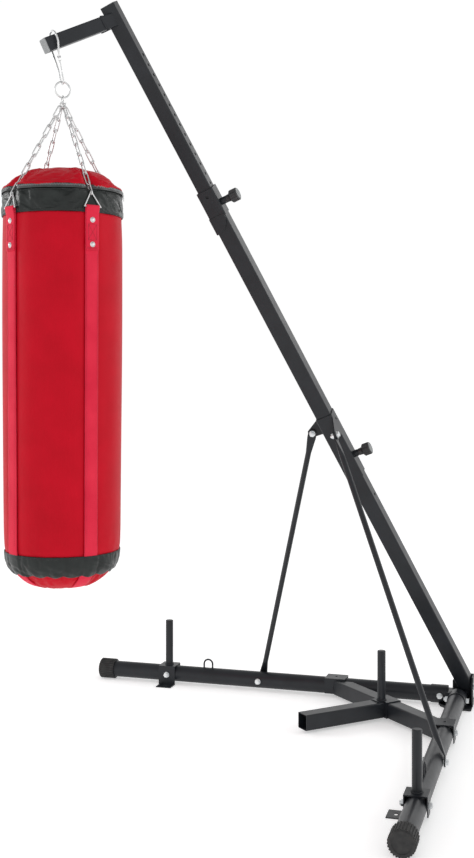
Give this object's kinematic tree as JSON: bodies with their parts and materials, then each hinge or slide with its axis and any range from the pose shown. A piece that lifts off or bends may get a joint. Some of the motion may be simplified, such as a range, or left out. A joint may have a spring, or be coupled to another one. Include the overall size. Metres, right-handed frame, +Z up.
{
  "type": "punching bag on stand",
  "caption": "Canvas punching bag hung by hook, ring and chains from a leaning telescopic mast on a V-shaped base with stays and weight posts.",
  "frame": {"origin": "on the floor under the point where the axes of the two legs meet, at the bottom of the hub's pad", "axes": "+Z up, -Y towards the bag, X across the stand"},
  "size_m": [1.9098, 1.6778, 2.226],
  "materials": {
    "frame_paint": "matte",
    "rubber": "matte",
    "black_plastic": "satin",
    "grey_plastic": "satin",
    "zinc": "satin",
    "bright_chain": "polished",
    "rivet_steel": "gloss",
    "strap_webbing": "matte",
    "bag_canvas": "matte",
    "trim_leatherette": "satin",
    "zip_plastic": "satin",
    "lining_foam": "matte",
    "rag_filling": "matte"
  },
  "bodies": {
    "stand": {"hub": "frame_paint", "hub_pad": "rubber", "hub_bolts": "zinc", "leg_left": "frame_paint", "leg_right": "frame_paint", "leg_cap_left": "rubber", "leg_cap_right": "rubber", "crossbar": "frame_paint", "saddle_left": "frame_paint", "saddle_right": "frame_paint", "leg_bolts": "zinc", "centre_clip": "frame_paint", "stub": "frame_paint", "centre_post": "frame_paint", "post_saddle_left": "frame_paint", "post_saddle_right": "frame_paint", "post_left": "frame_paint", "post_right": "frame_paint", "loop_left": "frame_paint", "loop_right": "frame_paint", "stay_left": "frame_paint", "stay_right": "frame_paint", "stay_bolts": "zinc", "mast_lower": "frame_paint", "mouth_sleeve": "frame_paint", "guide_bush": "black_plastic", "collar": "frame_paint", "upper_barrel": "frame_paint", "upper_spring": "zinc", "lower_barrel": "frame_paint", "lower_spring": "zinc"},
    "upper_mast": {"mast_upper": "frame_paint", "mast_cap": "black_plastic", "arm": "frame_paint", "arm_cap": "grey_plastic"},
    "upper_pull": {"upper_pin": "zinc", "upper_knob": "black_plastic"},
    "lower_pull": {"lower_pin": "zinc", "lower_knob": "black_plastic"},
    "hook": {"snap_hook": "bright_chain", "hook_rivet": "bright_chain"},
    "gate": {"hook_gate": "bright_chain"},
    "ring": {"ring": "bright_chain"},
    "swivel": {"swivel_eye": "bright_chain"},
    "bag": {"swivel_yoke": "bright_chain", "chain_right": "bright_chain", "chain_back": "bright_chain", "chain_left": "bright_chain", "chain_front": "bright_chain", "triangles": "bright_chain", "straps": "strap_webbing", "rivets": "rivet_steel", "bag_body": "bag_canvas", "bag_lining": "lining_foam", "bag_filling": "rag_filling", "top_band": "trim_leatherette", "top_cover": "bag_canvas", "zip": "zip_plastic", "bottom_band": "trim_leatherette", "bottom_cover": "bag_canvas"}
  },
  "joints": [
    {"name": "height_slide", "type": "slide", "parent": "stand", "child": "upper_mast", "axis": [0, -0.5255, 0.8508], "range_m": [-0.4875, 0.0325]},
    {"name": "upper_pin_pull", "type": "slide", "parent": "stand", "child": "upper_pull", "axis": [0.7071, 0.6016, 0.3716], "range_m": [0, 0.008], "stiffness_N_per_m": 900, "springref_m": -0.012, "deforming": ["upper_spring"]},
    {"name": "lower_pin_pull", "type": "slide", "parent": "stand", "child": "lower_pull", "axis": [0.7071, 0.6016, 0.3716], "range_m": [0, 0.008], "stiffness_N_per_m": 900, "springref_m": -0.012, "deforming": ["lower_spring"]},
    {"name": "hook_swing", "type": "hinge", "parent": "upper_mast", "child": "hook", "pos_m": [0, -1.456, 2.07895], "axis": [0, -0.9751, -0.2217], "range_deg": [-18, 18]},
    {"name": "hook_gate_turn", "type": "hinge", "parent": "hook", "child": "gate", "pos_m": [0.013, -1.44625, 2.03605], "axis": [0, 0.9751, 0.2217], "range_deg": [0, 18], "stiffness_Nm_per_rad": 0.05, "springref_deg": -28.65},
    {"name": "bag_swing_fore_aft", "type": "hinge", "parent": "hook", "child": "ring", "pos_m": [0, -1.43, 1.9646], "axis": [1, 0, 0], "range_deg": [-30, 30]},
    {"name": "bag_swing_sideways", "type": "hinge", "parent": "ring", "child": "swivel", "pos_m": [0, -1.43, 1.9253], "axis": [0, 1, 0], "range_deg": [-30, 30]},
    {"name": "bag_spin", "type": "hinge", "parent": "swivel", "child": "bag", "pos_m": [0, -1.43, 1.89], "axis": [0, 0, 1], "continuous": true}
  ]
}
